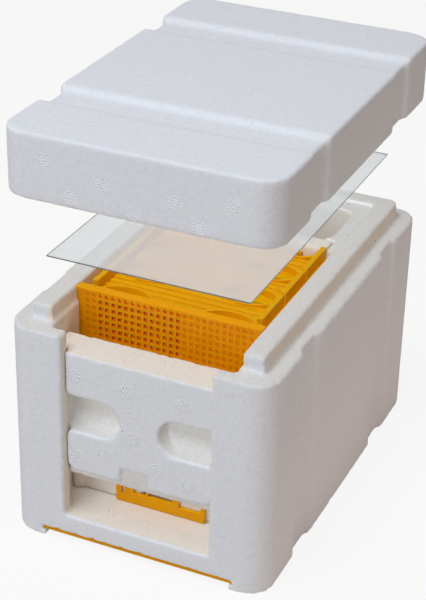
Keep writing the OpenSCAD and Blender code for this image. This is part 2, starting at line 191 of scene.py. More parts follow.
@dataclass(frozen=True)
class BeadFoam:
    """Expanded polystyrene, steam-moulded: matt white skin with the faint pebble of its fused beads."""

    name: str = "eps_bead_foam"
    skin: str = "#EBECEE"
    seam: str = "#E1E2E5"
    speck: str = "#5E5850"
    bead_mm: float = 2.2
    grain_mm: float = 0.9
    patch_mm: float = 38.0
    speck_cell_mm: float = 25.0
    speck_share: float = 0.018
    roughness: float = 0.85
    ior: float = 1.5
    relief_mm: float = 0.12
    # How softly beads meet, how much of the pebble a well fused patch keeps, and how far the seams show.
    blur: float = 0.6
    octaves: float = 2.0
    fused_span: tuple[float, float] = (0.35, 0.7)
    least_pebble: float = 0.35
    bead_height: float = -0.35
    seam_span: tuple[float, float] = (0.25, 0.8)
    seam_most: float = 0.6

    def material(self) -> bpy.types.Material:
        """Builds the foam's material.

        Returns:
            A matt white with a faint pebble, broad soft patches and a few dirt specks.
        """
        material, tree = new_tree(self.name)
        place = add_node(tree, "ShaderNodeTexCoord").outputs["Object"]
        # Beads are pressed flat at the skin, so each shows as a low pebble with a soft seam round it.
        beads = add_node(
            tree, "ShaderNodeTexVoronoi", {"Scale": per_metre(self.bead_mm), "Smoothness": self.blur},
            {"Vector": place}, feature="SMOOTH_F1",
        )
        # Steam leaves a fine grain on the skin, drawn coarser than it is so that it shows.
        grain = add_node(
            tree, "ShaderNodeTexNoise", {"Scale": per_metre(self.grain_mm), "Detail": self.octaves},
            {"Vector": place},
        )
        # Some parts of a moulding fuse less well and stay more pebbled than the rest.
        patches = add_node(
            tree, "ShaderNodeTexNoise", {"Scale": per_metre(self.patch_mm), "Detail": self.octaves},
            {"Vector": place},
        )
        rough_part = add_node(
            tree, "ShaderNodeMapRange",
            {"From Min": self.fused_span[0], "From Max": self.fused_span[1], "To Min": self.least_pebble},
            {"Value": patches.outputs["Fac"]},
        )
        relief = add_node(
            tree, "ShaderNodeMath", {1: self.bead_height},
            {0: beads.outputs["Distance"], 2: grain.outputs["Fac"]}, operation="MULTIPLY_ADD",
        )
        bump = add_node(
            tree, "ShaderNodeBump", {"Distance": self.relief_mm * MM},
            {"Height": relief.outputs[0], "Strength": rough_part.outputs["Result"]},
        )
        seam_share = add_node(
            tree, "ShaderNodeMapRange",
            {"From Min": self.seam_span[0], "From Max": self.seam_span[1], "To Max": self.seam_most},
            {"Value": beads.outputs["Distance"]},
        )
        skin = add_node(
            tree, "ShaderNodeMix", {6: linear(self.skin), 7: linear(self.seam)},
            {0: seam_share.outputs["Result"]}, data_type="RGBA",
        )
        # Handling leaves a few dark specks on the white skin.
        cells = add_node(
            tree, "ShaderNodeTexVoronoi", {"Scale": per_metre(self.speck_cell_mm), "Randomness": 1.0},
            {"Vector": place},
        )
        dirt = add_node(
            tree, "ShaderNodeMath", {1: self.speck_share}, {0: cells.outputs["Distance"]},
            operation="LESS_THAN",
        )
        colour = add_node(
            tree, "ShaderNodeMix", {7: linear(self.speck)}, {0: dirt.outputs[0], 6: skin.outputs[2]},
            data_type="RGBA",
        )
        shader = add_node(
            tree, "ShaderNodeBsdfPrincipled", {"Roughness": self.roughness, "IOR": self.ior},
            {"Base Color": colour.outputs[2], "Normal": bump.outputs["Normal"]},
        )
        add_node(tree, "ShaderNodeOutputMaterial", links={"Surface": shader.outputs[0]})
        return material


@dataclass(frozen=True)
class YellowPlastic:
    """Injection-moulded polypropylene: half-gloss, and it glows where light gets in from behind."""

    name: str = "moulded_yellow_polypropylene"
    face: str = "#EEB400"
    deep: str = "#E4A300"
    flow_mm: float = 26.0
    haze_mm: float = 0.8
    roughness: float = 0.36
    ior: float = 1.49
    shine: float = 0.12
    glow: float = 0.7
    spread_mm: tuple[float, float, float] = (3.2, 1.8, 0.3)
    # Slow flow marks swing the gloss to both sides of the roughness, and a fine haze breaks it up.
    flow_octaves: float = 2.0
    flow_swirl: float = 0.6
    haze_octaves: float = 1.0
    haze_strength: float = 0.06
    haze_depth_mm: float = 0.1
    gloss_span: tuple[float, float] = (-0.06, 0.08)

    def material(self) -> bpy.types.Material:
        """Builds the plastic's material.

        Returns:
            A warm yellow with slow flow marks, faint haze and light that spreads inside.
        """
        material, tree = new_tree(self.name)
        place = add_node(tree, "ShaderNodeTexCoord").outputs["Object"]
        flow = add_node(
            tree, "ShaderNodeTexNoise",
            {"Scale": per_metre(self.flow_mm), "Detail": self.flow_octaves, "Distortion": self.flow_swirl},
            {"Vector": place},
        )
        colour = add_node(
            tree, "ShaderNodeMix", {6: linear(self.deep), 7: linear(self.face)}, {0: flow.outputs["Fac"]},
            data_type="RGBA",
        )
        haze = add_node(
            tree, "ShaderNodeTexNoise", {"Scale": per_metre(self.haze_mm), "Detail": self.haze_octaves},
            {"Vector": place},
        )
        bump = add_node(
            tree, "ShaderNodeBump", {"Strength": self.haze_strength, "Distance": self.haze_depth_mm * MM},
            {"Height": haze.outputs["Fac"]},
        )
        gloss = add_node(
            tree, "ShaderNodeMapRange",
            {"To Min": self.roughness + self.gloss_span[0], "To Max": self.roughness + self.gloss_span[1]},
            {"Value": flow.outputs["Fac"]},
        )
        shader = add_node(
            tree, "ShaderNodeBsdfPrincipled",
            {"IOR": self.ior, "Specular IOR Level": self.shine, "Subsurface Weight": self.glow,
             "Subsurface Scale": MM, "Subsurface Radius": self.spread_mm},
            {"Base Color": colour.outputs[2], "Roughness": gloss.outputs["Result"],
             "Normal": bump.outputs["Normal"]},
        )
        add_node(tree, "ShaderNodeOutputMaterial", links={"Surface": shader.outputs[0]})
        return material


@dataclass(frozen=True)
class ClearSheet:
    """Clear PVC sheet, calendered: its milky reflection is painted, as a white face colour at part alpha, and
    what lies below shows through.
    """

    name: str = "clear_pvc_sheet"
    face: str = "#E1E3E0"
    veil: float = 0.47
    veil_swing: float = 0.04
    cloud_mm: float = 70.0
    octaves: float = 2.0
    roughness: float = 0.12
    ior: float = 1.53

    def material(self) -> bpy.types.Material:
        """Builds the see-through face of the sheet.

        Returns:
            A glossy veil of painted reflection that lets what lies below show through.
        """
        material, tree = new_tree(self.name)
        place = add_node(tree, "ShaderNodeTexCoord").outputs["Object"]
        cloud = add_node(
            tree, "ShaderNodeTexNoise", {"Scale": per_metre(self.cloud_mm), "Detail": self.octaves},
            {"Vector": place},
        )
        veil = add_node(
            tree, "ShaderNodeMapRange",
            {"To Min": self.veil - self.veil_swing, "To Max": self.veil + self.veil_swing},
            {"Value": cloud.outputs["Fac"]},
        )
        shader = add_node(
            tree, "ShaderNodeBsdfPrincipled",
            {"Base Color": linear(self.face), "Roughness": self.roughness, "IOR": self.ior},
            {"Alpha": veil.outputs["Result"]},
        )
        add_node(tree, "ShaderNodeOutputMaterial", links={"Surface": shader.outputs[0]})
        return material


@dataclass(frozen=True)
class CutEdge:
    """Guillotined edge of the clear PVC sheet: light runs inside the sheet, so its rim looks grey."""

    name: str = "clear_pvc_cut_edge"
    light: str = "#7F8583"
    dark: str = "#6A706F"
    nick_mm: float = 6.0
    roughness: float = 0.35
    ior: float = 1.53

    def material(self) -> bpy.types.Material:
        """Builds the grey cut rim.

        Returns:
            A grey that varies slowly along the cut.
        """
        material, tree = new_tree(self.name)
        place = add_node(tree, "ShaderNodeTexCoord").outputs["Object"]
        nicks = add_node(tree, "ShaderNodeTexNoise", {"Scale": per_metre(self.nick_mm)}, {"Vector": place})
        colour = add_node(
            tree, "ShaderNodeMix", {6: linear(self.dark), 7: linear(self.light)}, {0: nicks.outputs["Fac"]},
            data_type="RGBA",
        )
        shader = add_node(
            tree, "ShaderNodeBsdfPrincipled", {"Roughness": self.roughness, "IOR": self.ior},
            {"Base Color": colour.outputs[2]},
        )
        add_node(tree, "ShaderNodeOutputMaterial", links={"Surface": shader.outputs[0]})
        return material


@dataclass(frozen=True)
class WaxStrip:
    """Pressed beeswax: matt honey colour with slow clouds, partly painted a deeper orange for the orange
    light that comes through the yellow plastic, and light spreads a little inside it.
    """

    name: str = "pressed_beeswax"
    light: str = "#EE962A"
    dark: str = "#DE7C16"
    cloud_mm: float = 12.0
    octaves: float = 3.0
    roughness: float = 0.55
    ior: float = 1.44
    glow: float = 0.5
    spread_mm: tuple[float, float, float] = (3.0, 1.4, 0.4)

    def material(self) -> bpy.types.Material:
        """Builds the wax.

        Returns:
            A honey colour that clouds towards amber.
        """
        material, tree = new_tree(self.name)
        place = add_node(tree, "ShaderNodeTexCoord").outputs["Object"]
        cloud = add_node(
            tree, "ShaderNodeTexNoise", {"Scale": per_metre(self.cloud_mm), "Detail": self.octaves},
            {"Vector": place},
        )
        colour = add_node(
            tree, "ShaderNodeMix", {6: linear(self.dark), 7: linear(self.light)}, {0: cloud.outputs["Fac"]},
            data_type="RGBA",
        )
        shader = add_node(
            tree, "ShaderNodeBsdfPrincipled",
            {"Roughness": self.roughness, "IOR": self.ior, "Subsurface Weight": self.glow,
             "Subsurface Scale": MM, "Subsurface Radius": self.spread_mm},
            {"Base Color": colour.outputs[2]},
        )
        add_node(tree, "ShaderNodeOutputMaterial", links={"Surface": shader.outputs[0]})
        return material


def box_mm(node: str) -> tuple[Vector, Vector]:
    """Gives a CAD node's lowest and highest corners in millimetres."""
    low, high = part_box(node)
    return Vector(low) / MM, Vector(high) / MM


def link_mesh(name: str, mesh: bpy.types.Mesh) -> bpy.types.Object:
    """Puts a mesh into the scene as an object.

    Args:
        name: The object's name.
        mesh: Its mesh, already in place.

    Returns:
        The new object.
    """
    piece = bpy.data.objects.new(name, mesh)
    bpy.context.scene.collection.objects.link(piece)
    return piece


def fused_copy(node: str) -> bpy.types.Mesh:
    """Copies a CAD node's mesh with its split corners joined and its flat faces made whole.

    Args:
        node: The CAD node's name.

    Returns:
        A new closed mesh in the part's frame.
    """
    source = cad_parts[node]
    mesh = bpy.data.meshes.new(f"{node}_form")
    work = bmesh.new()
    work.from_mesh(source.data)
    work.transform(source.matrix_world)
    bmesh.ops.remove_doubles(work, verts=work.verts, dist=SAME_CORNER * MM)
    bmesh.ops.dissolve_limit(
        work, angle_limit=math.radians(SAME_FACE_DEG), verts=work.verts, edges=work.edges,
    )
    work.to_mesh(mesh)
    work.free()
    mesh.materials.clear()
    return mesh


def settle(piece: bpy.types.Object) -> None:
    """Turns a piece's modifiers into its mesh.

    Args:
        piece: The piece, which gets a new mesh.
    """
    graph = bpy.context.evaluated_depsgraph_get()
    mesh = bpy.data.meshes.new_from_object(piece.evaluated_get(graph))
    old = piece.data
    piece.modifiers.clear()
    piece.data = mesh
    bpy.data.meshes.remove(old)


def shade_smooth(piece: bpy.types.Object) -> None:
    """Shades a piece smooth, with its flat faces flat to the eye.

    Args:
        piece: The piece, which gets a new mesh.
    """
    for face in piece.data.polygons:
        face.use_smooth = True
    weigh = piece.modifiers.new("flat_faces", "WEIGHTED_NORMAL")
    weigh.weight = FLAT_WEIGHT
    settle(piece)


def marks_piece(name: str, work: bmesh.types.BMesh) -> bpy.types.Object:
    """Turns the finished marks of one body into a smooth piece.

    Args:
        name: The piece's name.
        work: The marks' mesh, which is freed.

    Returns:
        The piece, still undressed.
    """
    mesh = bpy.data.meshes.new(name)
    work.to_mesh(mesh)
    work.free()
    for face in mesh.polygons:
        face.use_smooth = True
    return link_mesh(name, mesh)


def dress(piece: bpy.types.Object, body: Body, slot: Slot, *materials: bpy.types.Material) -> None:
    """Gives a piece its materials and the body that it rides on.

    Args:
        piece: The finished piece.
        body: The body that carries it.
        slot: Not used.
        materials: Its materials, in the order that its faces count them.
    """
    for material in materials:
        piece.data.materials.append(material)
    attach(piece, body.value)


@dataclass
class FoamMoulding:
    """One foam moulding: the CAD form with the soft edges that a foam mould gives."""

    node: str
    body: Body
    voxel: float = 1.1
    soften: int = 8
    keep: float = 0.24
    # Beads chip where the surface bends by more than crisp_from, and fully crisp_span beyond that.
    crumb: float = 1.0
    crumb_size: float = 2.6
    crisp_from: float = 0.015
    crisp_span: float = 0.06
    least_share: float = 0.05
    fine_share: float = 0.5
    fine_scale: float = 2.3
    chip_from: float = 0.12
    # Strap grooves run up the side walls at +-groove_y, over the heights of groove_span.
    groove_span: tuple[float, float] | None = None
    groove_y: float = 64.0
    groove_half: float = 24.0
    groove_skin: float = 6.0
    groove_fade: float = 9.0
    groove_hold: float = 0.3
    groove_soften: int = 70

    def build(self, *finishes: bpy.types.Material) -> bpy.types.Object:
        """Builds the moulding and puts it in place of its CAD node.

        Args:
            finishes: The foam's materials, in the order of Skin.

        Returns:
            The moulding.
        """
        piece = link_mesh(f"{self.node}_moulding", fused_copy(self.node))
        remesh = piece.modifiers.new("skin", "REMESH")
        remesh.mode = "VOXEL"
        remesh.voxel_size = self.voxel * MM
        settle(piece)
        if self.groove_span:
            self._ease_grooves(piece)
        soft = piece.modifiers.new("soft_edges", "SMOOTH")
        soft.factor = SMOOTH_STEP
        soft.iterations = self.soften
        settle(piece)
        self._crumble(piece.data)
        thin = piece.modifiers.new("thin", "DECIMATE")
        thin.ratio = self.keep
        settle(piece)
        shade_smooth(piece)
        dress(piece, self.body, Slot.FOAM, *finishes)
        for face in piece.data.polygons:
            face.material_index = self.skin(face.center / MM, face.normal).value
        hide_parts(self.node)
        LOG.info("foam moulding %s: %d faces", self.node, len(piece.data.polygons))
        return piece

    def skin(self, centre: Vector, normal: Vector) -> Skin:
        """Says which finish a face takes.

        Args:
            centre: The face's centre.
            normal: The face's outward direction.

        Returns:
            The outer skin all over, unless a kind of moulding says otherwise.
        """
        return Skin.OUTER

    def _ease_grooves(self, piece: bpy.types.Object) -> None:
        """Eases the walls of the upright strap grooves, which are crisp only at their two ends.

        Args:
            piece: The remeshed moulding, whose mesh is changed.
        """
        low, high = self.groove_span
        side = box_mm(self.node)[1].x - self.groove_skin
        group = piece.vertex_groups.new(name="strap_grooves")
        for vertex in piece.data.vertices:
            x, y, z = vertex.co / MM
            if abs(x) < side or abs(abs(y) - self.groove_y) > self.groove_half:
                continue
            share = min(z - low, high - z) / self.groove_fade - self.groove_hold
            if share > 0.0:
                group.add([vertex.index], min(1.0, share), "REPLACE")
        ease = piece.modifiers.new("eased_grooves", "SMOOTH")
        ease.factor = SMOOTH_STEP
        ease.iterations = self.groove_soften
        ease.use_y = False
        ease.use_z = False
        ease.vertex_group = group.name
        settle(piece)

    def _crumble(self, mesh: bpy.types.Mesh) -> None:
        """Presses single beads in along the narrow edges, where foam chips.

        Args:
            mesh: The softened mesh, which is changed in place.
        """
        count = len(mesh.vertices)
        places = np.empty(count * 3)
        normals = np.empty(count * 3)
        ends = np.empty(len(mesh.edges) * 2, dtype=np.int64)
        mesh.vertices.foreach_get("co", places)
        mesh.vertices.foreach_get("normal", normals)
        mesh.edges.foreach_get("vertices", ends)
        places = places.reshape(-1, 3)
        normals = normals.reshape(-1, 3)
        ends = ends.reshape(-1, 2)
        bend = 1.0 - (normals[ends[:, 0]] * normals[ends[:, 1]]).sum(axis=1)
        sharp = np.zeros(count)
        for side in (0, 1):
            np.maximum.at(sharp, ends[:, side], bend)
        share = np.clip((sharp - self.crisp_from) / self.crisp_span, 0.0, 1.0)
        size = self.crumb_size * MM
        for i in np.nonzero(share > self.least_share)[0]:
            spot = Vector(places[i]) / size
            fine = self.fine_share * noise.noise(spot * self.fine_scale)
            chip = max(0.0, noise.noise(spot) + fine - self.chip_from)
            places[i] -= normals[i] * (share[i] * self.crumb * MM * chip)
        mesh.vertices.foreach_set("co", places.ravel())
        mesh.update()


@dataclass
class HiveBox(FoamMoulding):
    """The box: cool outer walls, tops with painted shade, faces inside with painted bounce light from the
    yellow plastic, and a feeder with painted light.
    """

    node: str = "hive_body"
    body: Body = Body.HIVE
    groove_span: tuple[float, float] | None = (0.0, 136.0)
    # Limits of the inside, which is only as wide as the door's slot near the front.
    inner_x: float = 72.0
    slot_x: float = 60.0
    slot_back: float = -100.0
    inner_front: float = -118.6
    inner_back: float = 112.0
    inner_floor: float = 17.0
    top_from: float = 130.0
    level: float = 0.7
    feeder_front: float = field(init=False)

    def __post_init__(self) -> None:
        """Finds where the feeder begins, at the back of the divider."""
        self.feeder_front = box_mm("divider")[1].y

    def skin(self, centre: Vector, normal: Vector) -> Skin:
        """Says which finish a face takes: tops first, then the feeder and the other faces inside.

        Args:
            centre: The face's centre.
            normal: The face's outward direction.

        Returns:
            The face's finish.
        """
        # Tops take the painted shade, faces inside the painted bounce light, and the feeder the painted
        # light.
        if centre.z > self.top_from and normal.z > self.level:
            return Skin.TOP
        half = self.slot_x if centre.y < self.slot_back else self.inner_x
        inside = abs(centre.x) < half and self.inner_front < centre.y < self.inner_back
        if not inside or centre.z <= self.inner_floor:
            return Skin.OUTER
        in_feeder = centre.y > self.feeder_front and abs(centre.x) < self.slot_x
        return Skin.SEALED if in_feeder else Skin.INSIDE


@dataclass
class FrontDoor(FoamMoulding):
    """The sliding door: its top takes the painted bounce light of the box's inside, and its grips and the
    faces behind its front the painted shade.
    """

    node: str = "front_door"
    body: Body = Body.DOOR
    voxel: float = 0.8
    top_from: float = 120.0
    grip_from: float = -113.5
    level: float = 0.7

    def skin(self, centre: Vector, normal: Vector) -> Skin:
        """Says which finish a face takes: the top first, then the grips and what lies behind the face.

        Args:
            centre: The face's centre.
            normal: The face's outward direction.

        Returns:
            The face's finish.
        """
        # The painted shade on the grips stands in for the door's own shade, which the door does not cast.
        if centre.z > self.top_from and normal.z > self.level:
            return Skin.INSIDE
        return Skin.TOP if centre.y > self.grip_from else Skin.OUTER


@dataclass
class InnerBoard(FoamMoulding):
    """A foam board that stands inside the box."""

    level: float = 0.7

    def skin(self, centre: Vector, normal: Vector) -> Skin:
        """Says which finish a face takes: every face lies inside the box, and one may close the feeder."""
        # Faces towards the feeder take its painted light, the others the painted bounce light of the inside.
        return Skin.SEALED if normal.y > self.level else Skin.INSIDE


@dataclass
class VentMark:
    """Place of one steam vent mark: a cluster of small raised dots that the mould leaves."""

    at: tuple[float, float, float]
    side: Side
    relief: Relief


def marks_on(side: Side, level: float, relief: Relief, places: list[tuple[float, float]]) -> list[VentMark]:
    """Places vent marks on one flat face.

    Args:
        side: The way that the face looks.
        level: Where the face lies along that way.
        relief: How far the marks stand out.
        places: Each mark's other two coordinates, in the order of the axes.

    Returns:
        The marks.
    """
    axis = [abs(part) for part in side.value].index(1.0)
    return [VentMark((*place[:axis], level, *place[axis:]), side, relief) for place in places]


@dataclass
class VentMarks:
    """All vent marks on one body."""

    name: str
    body: Body
    marks: list[VentMark]
    dot: float = 0.64
    pitch: float = 1.75
    rise: float = 0.45
    sink: float = 0.4
    crown_radius: float = 0.62
    crown_height: float = 0.8
    rings: int = 2
    first_ring: int = 6
    sides: int = 8

    def dots(self) -> list[tuple[float, float]]:
        """Lists the dots of one mark, as a centre with rings round it.

        Returns:
            Each dot's place across the mark.
        """
        places = [(0.0, 0.0)]
        for ring in range(1, self.rings + 1):
            count = self.first_ring * ring
            for i in range(count):
                turn = 2 * math.pi * i / count
                places.append((ring * self.pitch * math.cos(turn), ring * self.pitch * math.sin(turn)))
        return places

    def build(self, finish: bpy.types.Material) -> bpy.types.Object:
        """Builds every dot as a low dome that sinks a little into the foam.

        Args:
            finish: The foam's material.

        Returns:
            One piece with all the marks.
        """
        work = bmesh.new()
        for mark in self.marks:
            turn = Vector(mark.side.value).to_track_quat("Z", "Y").to_matrix()
            for x, y in self.dots():
                centre = Vector(mark.at) + turn @ Vector((x, y, 0.0))
                self._dome(work, centre, turn, self.rise * mark.relief.value)
        piece = marks_piece(self.name, work)
        dress(piece, self.body, Slot.FOAM, finish)
        LOG.info("vent marks %s: %d marks", self.name, len(self.marks))
        return piece

    def _dome(self, work: bmesh.types.BMesh, centre: Vector, turn: Matrix, rise: float) -> None:
        """Adds one closed dot.

        Args:
            work: The mesh under construction.
            centre: The dot's centre on the foam's face.
            turn: Rotation from the dot's own axes to the face's.
            rise: Height of the dot above the face.
        """
        profile = (
            (self.dot, -self.sink), (self.dot, 0.0), (self.dot * self.crown_radius, rise * self.crown_height),
        )
        rings = []
        for radius, height in profile:
            ring = []
            for i in range(self.sides):
                angle = 2 * math.pi * i / self.sides
                local = Vector((radius * math.cos(angle), radius * math.sin(angle), height))
                ring.append(work.verts.new((centre + turn @ local) * MM))
            rings.append(ring)
        top = work.verts.new((centre + turn @ Vector((0.0, 0.0, rise))) * MM)
        work.faces.new(list(reversed(rings[0])))
        for low, high in zip(rings, rings[1:]):
            for i in range(self.sides):
                j = (i + 1) % self.sides
                work.faces.new((low[i], low[j], high[j], high[i]))
        for i in range(self.sides):
            work.faces.new((rings[-1][i], rings[-1][(i + 1) % self.sides], top))


@dataclass
class RingMark:
    """Place of one thin raised ring that a mould insert leaves; parts beyond its reach are left out."""

    at: tuple[float, float, float]
    side: Side
    radius: float
    reach: float = math.inf


@dataclass
class RingMarks:
    """All ring marks on one body."""

    name: str
    body: Body
    marks: list[RingMark]
    width: float = 1.3
    crest: float = 0.5
    rise: float = 0.2
    sink: float = 0.4
    steps: int = 96

    def build(self, finish: bpy.types.Material) -> bpy.types.Object:
        """Builds every ring as a low ridge that sinks a little into the foam.

        Args:
            finish: The foam's material.

        Returns:
            One piece with all the rings.
        """
        work = bmesh.new()
        for mark in self.marks:
            self._ring(work, mark)
        bmesh.ops.recalc_face_normals(work, faces=work.faces)
        piece = marks_piece(self.name, work)
        dress(piece, self.body, Slot.FOAM, finish)
        LOG.info("ring marks %s: %d rings", self.name, len(self.marks))
        return piece

    def _ring(self, work: bmesh.types.BMesh, mark: RingMark) -> None:
        """Adds one ring, or the arcs of it that lie within its reach.

        Args:
            work: The mesh under construction.
            mark: The ring's place and size.
        """
        turn = Vector(mark.side.value).to_track_quat("Z", "Y").to_matrix()
        half = self.width / 2
        crest = half * self.crest
        section = ((-half, -self.sink), (half, -self.sink), (crest, self.rise), (-crest, self.rise))
        kept = []
        for i in range(self.steps):
            angle = 2 * math.pi * i / self.steps
            across, along = math.cos(angle), math.sin(angle)
            kept.append(None)
            if abs((mark.radius + half) * along) > mark.reach:
                continue
            kept[-1] = []
            for out, up in section:
                local = Vector(((mark.radius + out) * across, (mark.radius + out) * along, up))
                kept[-1].append(work.verts.new((Vector(mark.at) + turn @ local) * MM))
        for i, here in enumerate(kept):
            before, after = kept[i - 1], kept[(i + 1) % self.steps]
            if here is None:
                continue
            if before is None:
                work.faces.new(here)
            if after is None:
                work.faces.new(list(reversed(here)))
                continue
            for k in range(len(section)):
                j = (k + 1) % len(section)
                work.faces.new((here[k], after[k], after[j], here[j]))


@dataclass
class Moulded:
    """One rigid piece: the CAD form with small rounded edges."""

    node: str
    body: Body
    slot: Slot = Slot.YELLOW
    edge: float = 0.35
    edge_from_deg: float = 40.0
    segments: int = 2

    def build(self, finish: bpy.types.Material) -> bpy.types.Object:
        """Builds the piece and puts it in place of its CAD node.

        Args:
            finish: The piece's material.

        Returns:
            The piece.
        """
        piece = link_mesh(f"{self.node}_piece", fused_copy(self.node))
        edges = piece.modifiers.new("edges", "BEVEL")
        edges.width = self.edge * MM
        edges.segments = self.segments
        edges.limit_method = "ANGLE"
        edges.angle_limit = math.radians(self.edge_from_deg)
        edges.use_clamp_overlap = True
        settle(piece)
        shade_smooth(piece)
        dress(piece, self.body, self.slot, finish)
        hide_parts(self.node)
        LOG.info("rigid piece %s: %d faces", self.node, len(piece.data.polygons))
        return piece


@dataclass
class VentGrille(Moulded):
    """The perforated grille, where a thin web closes part of the holes and is painted darker, as painted
    shade in the holes.
    """

    node: str = "vent_grille"
    body: Body = Body.HIVE
    # Faces near the middle of the grille's depth and clear of its border lie in the holes.
    web_reach: float = 0.9
    border: float = 4.0
    facing: float = 0.9
    sideways: float = 0.3
    corners: tuple[Vector, Vector] = field(init=False)

    def __post_init__(self) -> None:
        """Finds the grille's lowest and highest corners."""
        self.corners = box_mm(self.node)

    def build_with_web(
        self, finish: bpy.types.Material, web: bpy.types.Material, hole: bpy.types.Material,
    ) -> bpy.types.Object:
        """Builds the grille and gives the floors and the walls of its holes their own finishes, painted with
        the holes' shade and orange light.

        Args:
            finish: The plastic's material.
            web: Material of the thin web that closes a hole, painted darker as the hole's shade.
            hole: Material of the holes' walls, painted a darker orange as the shade in the holes and the
                light that comes from behind through the plastic.

        Returns:
            The grille.
        """
        piece = self.build(finish)
        piece.data.materials.append(web)
        piece.data.materials.append(hole)
        for face in piece.data.polygons:
            face.material_index = self._part(face.center / MM, face.normal).value
        return piece

    def _part(self, centre: Vector, normal: Vector) -> GrillePart:
        """Says which part of the grille a face belongs to.

        Args:
            centre: The face's centre.
            normal: The face's outward direction.

        Returns:
            The floor or a wall of a hole, or else the plain face.
        """
        low, high = self.corners
        if abs(centre.y - (low.y + high.y) / 2) > self.web_reach:
            return GrillePart.FACE
        if normal.y < -self.facing:
            return GrillePart.WEB
        inset = min(centre.x - low.x, high.x - centre.x, high.z - centre.z)
        if abs(normal.y) < self.sideways and inset > self.border:
            return GrillePart.HOLE
        return GrillePart.FACE


CornerRows = list[list[bmesh.types.BMVert]]


@dataclass
class CoverSheet:
    """The clear sheet between lid and box, with a slight bow and cut edges."""

    node: str = "cover_sheet"
    bow: float = 0.5
    columns: int = 16
    rows: int = 24

    def build(self, face: bpy.types.Material, edge: bpy.types.Material) -> bpy.types.Object:
        """Builds the sheet and puts it in place of its CAD node.

        Args:
            face: Material of the two faces.
            edge: Material of the cut edges.

        Returns:
            The sheet.
        """
        low, high = box_mm(self.node)
        work = bmesh.new()
        bottom = self._layer(work, low, high, low.z)
        top = self._layer(work, low, high, high.z)
        for j in range(self.rows):
            for i in range(self.columns):
                work.faces.new((top[j][i], top[j][i + 1], top[j + 1][i + 1], top[j + 1][i]))
                work.faces.new((bottom[j][i], bottom[j + 1][i], bottom[j + 1][i + 1], bottom[j][i + 1]))
        self._edges(work, bottom, top)
        mesh = bpy.data.meshes.new("cover_sheet_form")
        work.to_mesh(mesh)
        work.free()
        piece = link_mesh("cover_sheet_clear", mesh)
        dress(piece, Body.SHEET, Slot.SHEET, face, edge)
        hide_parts(self.node)
        LOG.info("cover sheet: %d faces", len(mesh.polygons))
        return piece

    def _layer(self, work: bmesh.types.BMesh, low: Vector, high: Vector, level: float) -> CornerRows:
        """Adds the corners of one face of the sheet, which sags towards its middle.

        Args:
            work: The mesh under construction.
            low: The sheet's lowest corner.
            high: The sheet's highest corner.
            level: Height of the face at its rim.

        Returns:
            Rows of corners, from the front to the back.
        """
        layer = []
        for j in range(self.rows + 1):
            v = j / self.rows
            line = []
            for i in range(self.columns + 1):
                u = i / self.columns
                sag = self.bow * math.sin(math.pi * u) * math.sin(math.pi * v)
                place = Vector((low.x + (high.x - low.x) * u, low.y + (high.y - low.y) * v, level - sag))
                line.append(work.verts.new(place * MM))
            layer.append(line)
        return layer

    def _edges(self, work: bmesh.types.BMesh, bottom: CornerRows, top: CornerRows) -> None:
        """Closes the sheet's rim with faces of the edge material.

        Args:
            work: The mesh under construction.
            bottom: Rows of the lower face's corners.
            top: Rows of the upper face's corners.
        """
        ring = [(0, i) for i in range(self.columns)]
        ring += [(j, self.columns) for j in range(self.rows)]
        ring += [(self.rows, i) for i in range(self.columns, 0, -1)]
        ring += [(j, 0) for j in range(self.rows, 0, -1)]
        for here, after in zip(ring, ring[1:] + ring[:1]):
            a, b = bottom[here[0]][here[1]], bottom[after[0]][after[1]]
            c, d = top[after[0]][after[1]], top[here[0]][here[1]]
            work.faces.new((a, b, c, d)).material_index = 1


@dataclass
class Lamp:
    """One round area lamp, in metres, with its beam's full angle in degrees."""

    name: str
    at: tuple[float, float, float]
    aim: tuple[float, float, float]
    size: float
    watts: float
    colour: str
    beam: float = 180.0

    def hang(self) -> None:
        """Makes the lamp and aims it."""
        data = bpy.data.lights.new(self.name, "AREA")
        data.shape = "DISK"
        data.size = self.size
        data.energy = self.watts
        data.color = linear(self.colour)[:3]
        data.spread = math.radians(self.beam)
        lamp = bpy.data.objects.new(self.name, data)
        lamp.location = self.at
        lamp.rotation_euler = (Vector(self.aim) - Vector(self.at)).to_track_quat("-Z", "Y").to_euler()
        bpy.context.scene.collection.objects.link(lamp)


